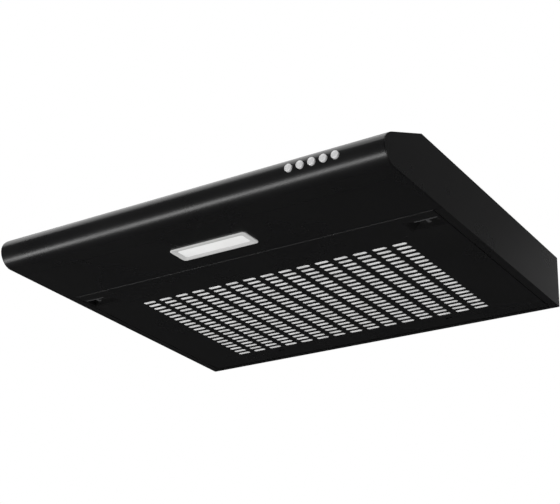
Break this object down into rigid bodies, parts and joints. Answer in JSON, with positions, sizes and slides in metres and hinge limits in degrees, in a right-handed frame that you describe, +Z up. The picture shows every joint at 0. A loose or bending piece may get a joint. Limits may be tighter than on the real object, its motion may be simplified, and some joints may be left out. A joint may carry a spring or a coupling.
{
  "type": "under cabinet range hood",
  "caption": "Slim black under-cabinet range hood with rounded nose, push buttons, strip lamp and a hinged slotted grille that holds a felt grease filter.",
  "frame": {"origin": "on the top face that lies against the cabinet, at the centre of the fixing holes, midway between the sides and 200 mm from the rear face", "axes": "+Z up towards the cabinet, +Y towards the wall, +X along the width to the right of someone facing the hood"},
  "size_m": [0.6, 0.495, 0.1091],
  "materials": {
    "black_paint": "semi-gloss black paint on sheet steel",
    "black_plastic": "moulded black plastic",
    "grey_plastic": "moulded grey plastic",
    "white_plastic": "moulded white plastic",
    "zinc_steel": "zinc-plated steel",
    "bright_steel": "bright steel",
    "silver_plating": "satin silver plating on plastic",
    "opal_plastic": "opal light diffuser",
    "circuit_board": "circuit board lacquer",
    "filter_felt": "white non-woven grease felt",
    "cable_sheath": "dark grey cable sheath"
  },
  "bodies": {
    "hood_body": {"canopy": "black_paint", "end_panel_left": "black_paint", "end_panel_right": "black_paint", "rear_panel": "black_paint", "front_under_panel": "black_paint", "hinge_bracket_left": "zinc_steel", "hinge_bracket_right": "zinc_steel", "hinge_pin_left": "bright_steel", "hinge_pin_right": "bright_steel", "lamp_bezel": "white_plastic", "lamp_lens": "opal_plastic", "lamp_housing": "zinc_steel", "led_board": "circuit_board", "button_guide": "black_plastic", "switch_block": "white_plastic", "fan_housing": "grey_plastic", "fan_inlet_plate": "grey_plastic", "fan_motor": "zinc_steel", "motor_mount": "zinc_steel", "motor_screw_1": "bright_steel", "motor_screw_2": "bright_steel", "motor_screw_3": "bright_steel", "fan_screw_1": "bright_steel", "fan_screw_2": "bright_steel", "fan_screw_3": "bright_steel", "fan_screw_4": "bright_steel", "outlet_collar": "black_plastic", "flap_spindle": "bright_steel", "collar_screw_1": "bright_steel", "collar_screw_2": "bright_steel", "terminal_box": "white_plastic", "terminal_lid": "white_plastic", "cable_gland": "black_plastic", "capacitor": "white_plastic", "capacitor_band": "zinc_steel", "lamp_cable": "cable_sheath", "switch_cable": "cable_sheath", "motor_cable": "cable_sheath"},
    "grille": {"filter_grille": "black_paint", "grease_filter_mat": "filter_felt", "filter_wire_left": "bright_steel", "filter_wire_right": "bright_steel", "latch_housing_left": "black_plastic", "latch_housing_right": "black_plastic", "latch_spring_left": "bright_steel", "latch_spring_right": "bright_steel"},
    "latch_left": {"latch_left": "black_plastic"},
    "latch_right": {"latch_right": "black_plastic"},
    "button_off": {"button_off": "silver_plating"},
    "button_low": {"button_low": "silver_plating"},
    "button_medium": {"button_medium": "silver_plating"},
    "button_high": {"button_high": "silver_plating"},
    "button_light": {"button_light": "silver_plating"},
    "fan_rotor": {"fan_impeller": "black_plastic", "motor_shaft": "bright_steel", "impeller_nut": "bright_steel"},
    "flap_front": {"flap_front": "grey_plastic"},
    "flap_rear": {"flap_rear": "grey_plastic"}
  },
  "joints": [
    {"name": "grille_hinge", "type": "hinge", "parent": "hood_body", "child": "grille", "pos_m": [0, 0.1864, -0.071], "axis": [1, 0, 0], "range_deg": [0, 90]},
    {"name": "latch_left_slide", "type": "slide", "parent": "grille", "child": "latch_left", "axis": [0, 1, 0], "range_m": [0, 0.005], "stiffness_N_per_m": 400, "springref_m": -0.004, "deforming": ["latch_spring_left"]},
    {"name": "latch_right_slide", "type": "slide", "parent": "grille", "child": "latch_right", "axis": [0, 1, 0], "range_m": [0, 0.005], "stiffness_N_per_m": 400, "springref_m": -0.004, "deforming": ["latch_spring_right"]},
    {"name": "button_off_press", "type": "slide", "parent": "hood_body", "child": "button_off", "axis": [0, 1, 0], "range_m": [0, 0.002], "stiffness_N_per_m": 300, "springref_m": -0.003},
    {"name": "button_low_press", "type": "slide", "parent": "hood_body", "child": "button_low", "axis": [0, 1, 0], "range_m": [0, 0.002], "stiffness_N_per_m": 300, "springref_m": -0.003},
    {"name": "button_medium_press", "type": "slide", "parent": "hood_body", "child": "button_medium", "axis": [0, 1, 0], "range_m": [0, 0.002], "stiffness_N_per_m": 300, "springref_m": -0.003},
    {"name": "button_high_press", "type": "slide", "parent": "hood_body", "child": "button_high", "axis": [0, 1, 0], "range_m": [0, 0.002], "stiffness_N_per_m": 300, "springref_m": -0.003},
    {"name": "button_light_press", "type": "slide", "parent": "hood_body", "child": "button_light", "axis": [0, 1, 0], "range_m": [0, 0.002], "stiffness_N_per_m": 300, "springref_m": -0.003},
    {"name": "fan_spin", "type": "hinge", "parent": "hood_body", "child": "fan_rotor", "pos_m": [-0.06, 0.01, -0.044], "axis": [0, 0, 1], "continuous": true},
    {"name": "flap_front_hinge", "type": "hinge", "parent": "hood_body", "child": "flap_front", "pos_m": [0.115, 0.072, 0.0143], "axis": [-1, 0, 0], "range_deg": [0, 75]},
    {"name": "flap_rear_hinge", "type": "hinge", "parent": "hood_body", "child": "flap_rear", "pos_m": [0.115, 0.072, 0.0143], "axis": [1, 0, 0], "range_deg": [0, 75]}
  ]
}
